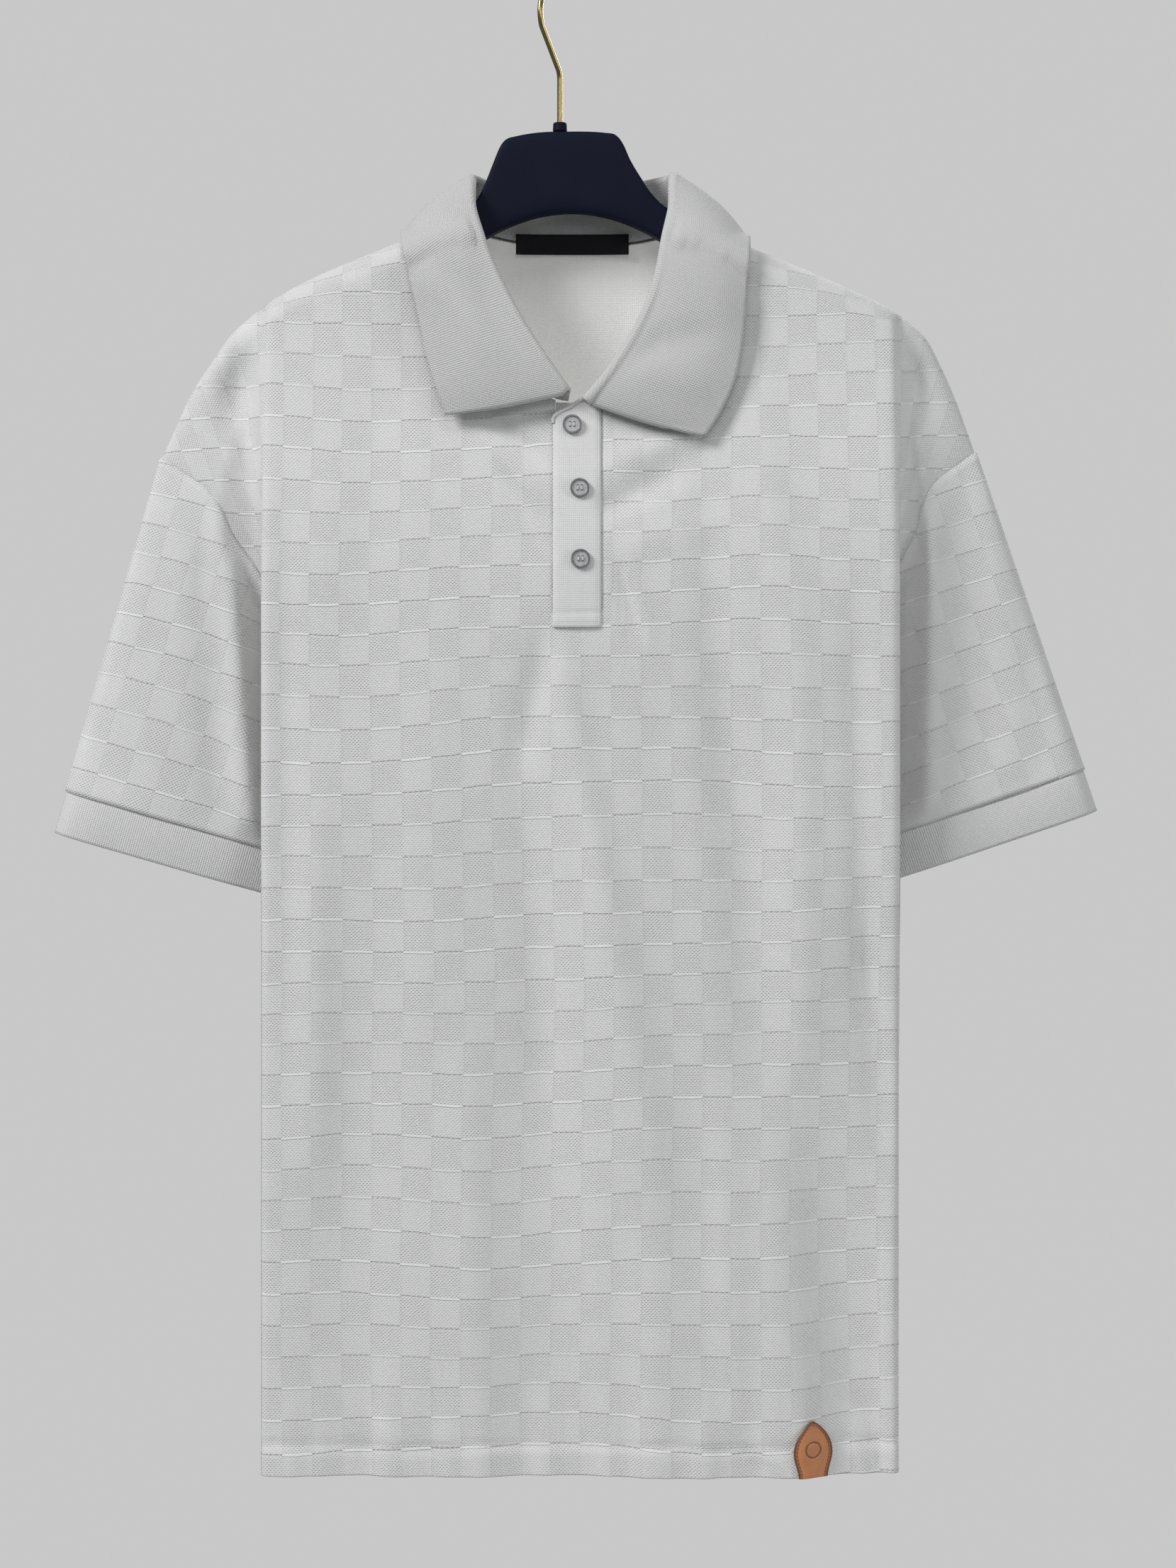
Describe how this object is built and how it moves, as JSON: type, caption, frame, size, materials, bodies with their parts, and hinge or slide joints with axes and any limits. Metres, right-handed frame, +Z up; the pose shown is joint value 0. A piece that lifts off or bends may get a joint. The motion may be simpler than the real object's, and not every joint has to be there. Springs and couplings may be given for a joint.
{
  "type": "short-sleeved polo shirt on a hanger",
  "caption": "Boxy short-sleeved knit polo shirt with flat-knit collar, buttoned placket, banded cuffs and leather hem tab, on a moulded hanger with a wire hook.",
  "frame": {"origin": "where a rail bears, inside the top of the hanger's hook", "axes": "+Z up, the shirt's front faces -Y, +X towards the wearer's left"},
  "size_m": [0.6322, 0.1006, 0.8984],
  "materials": {
    "knit": "matte white pique knit with a tone-on-tone check",
    "rib": "matte white flat-knit rib",
    "button": "satin silver-grey",
    "leather": "tan, burnished edge",
    "label": "matte black woven tape",
    "plastic": "dark navy, low sheen",
    "brass": "polished wire"
  },
  "bodies": {
    "root": {"front": "knit", "back": "knit", "sleeve_right": "knit", "sleeve_left": "knit", "cuff_right": "rib", "cuff_left": "rib", "collar": "rib", "placket_under": "knit", "placket_over": "knit", "button_top": "button", "button_middle": "button", "button_low": "button", "leather_tab": "leather", "neck_label": "label", "hanger_body": "plastic", "hanger_neck": "plastic", "hanger_hook": "brass"}
  },
  "joints": []
}
